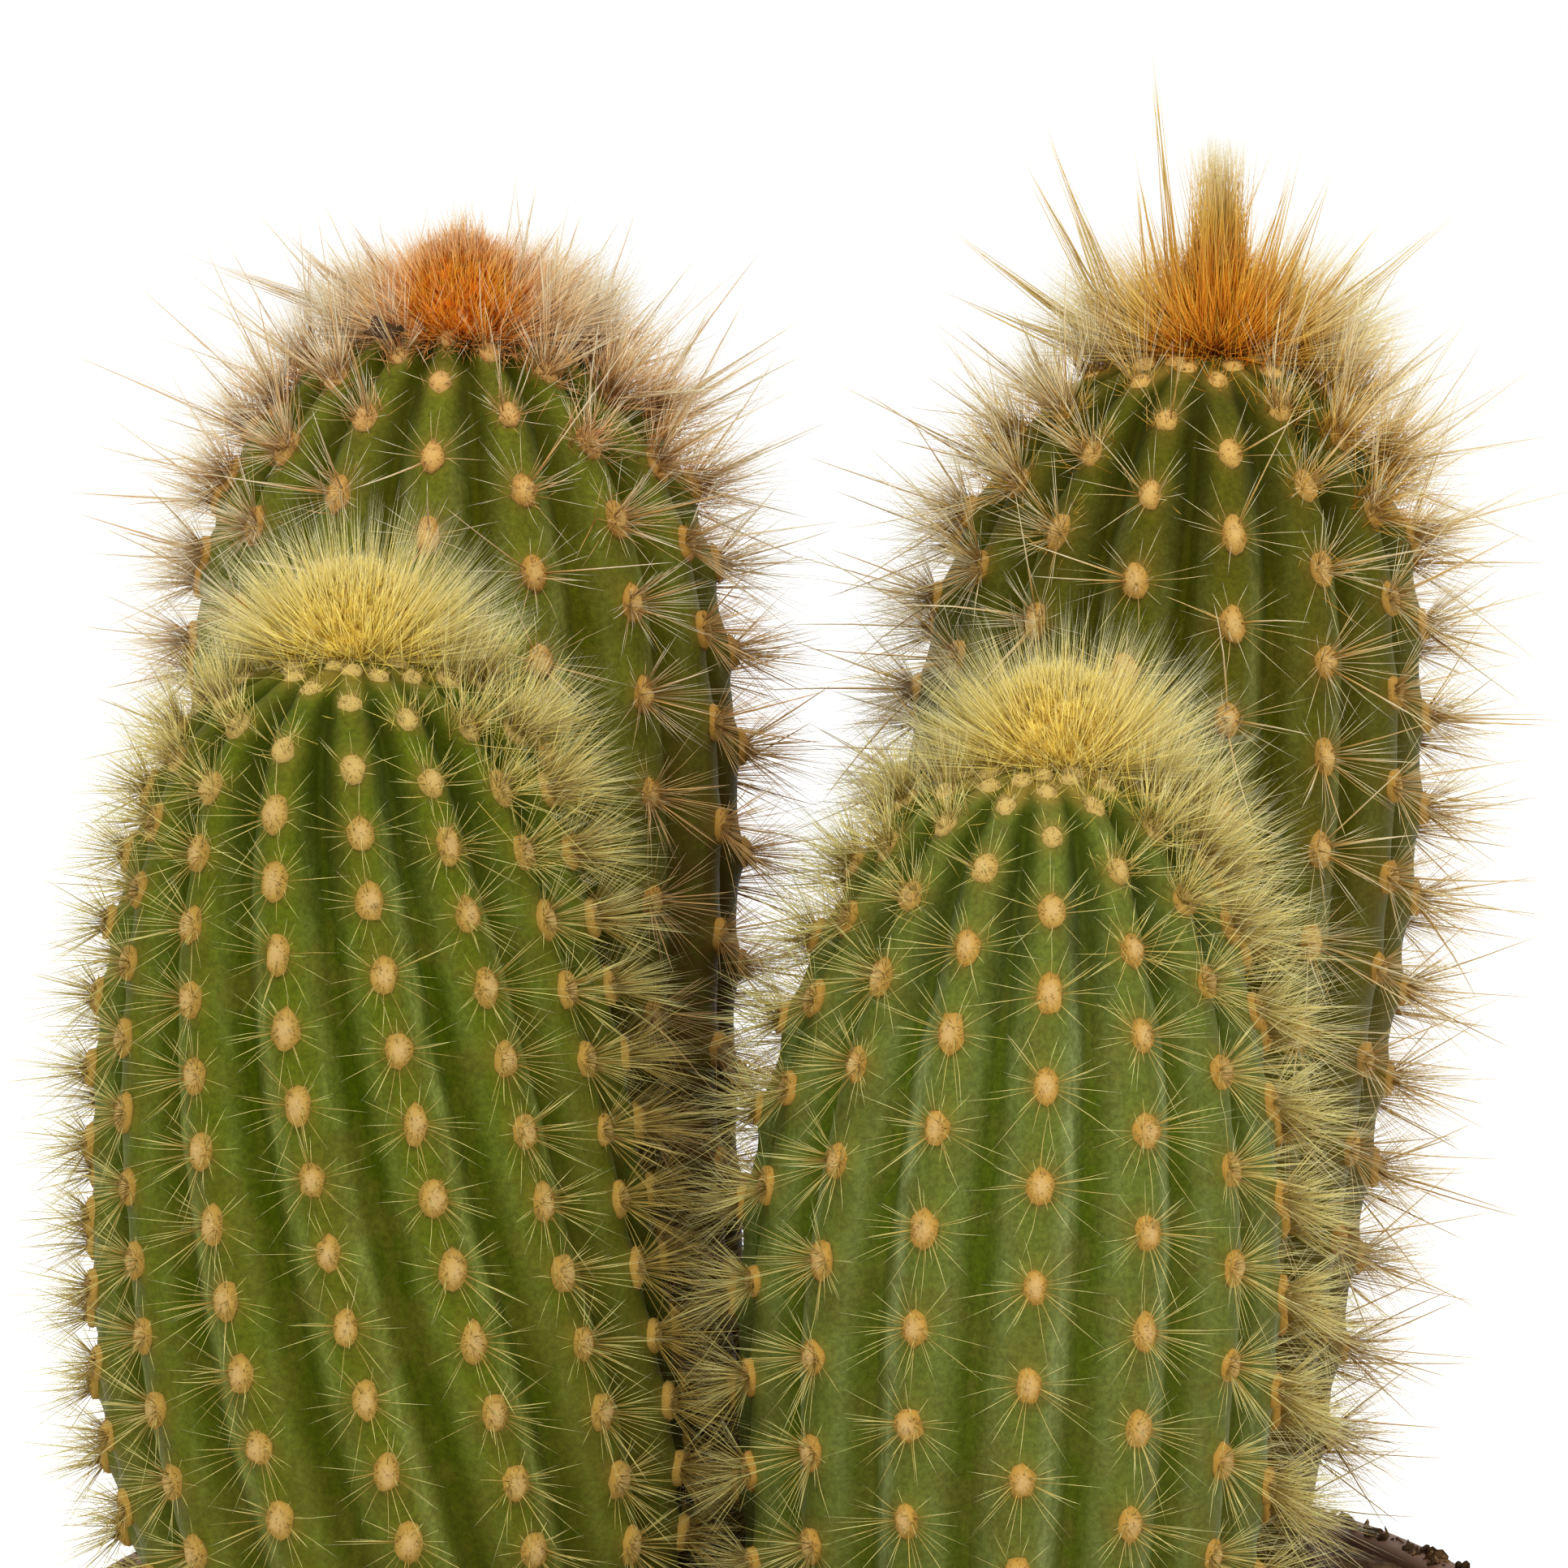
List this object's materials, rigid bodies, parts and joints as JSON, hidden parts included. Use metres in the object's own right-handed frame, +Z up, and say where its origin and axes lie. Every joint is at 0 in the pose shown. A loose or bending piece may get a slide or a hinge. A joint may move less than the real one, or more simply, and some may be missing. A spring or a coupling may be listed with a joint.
{
  "type": "potted tall cactus",
  "caption": "Clump of tall ribbed cactus columns with woolly areoles, fine spines and tufted crowns, planted in soil in a plain round tapered pot.",
  "frame": {"origin": "centre of the pot's flat underside", "axes": "+Z up along the stems, -Y towards the front, where the two shorter stems stand, +X to the right seen from the front"},
  "size_m": [0.1389, 0.138, 0.2519],
  "materials": {
    "pot": "matte",
    "soil": "matte",
    "skin_left_front": "satin",
    "tuft_left_front": "matte",
    "skin_right_front": "satin",
    "tuft_right_front": "matte",
    "skin_left_back": "satin",
    "tuft_left_back": "matte",
    "skin_right_back": "satin",
    "tuft_right_back": "matte"
  },
  "bodies": {
    "root": {"pot": "pot", "soil": "soil", "stem_left_front": "skin_left_front", "crown_left_front": "tuft_left_front", "stem_right_front": "skin_right_front", "crown_right_front": "tuft_right_front", "stem_left_back": "skin_left_back", "crown_left_back": "tuft_left_back", "stem_right_back": "skin_right_back", "crown_right_back": "tuft_right_back"}
  },
  "joints": []
}
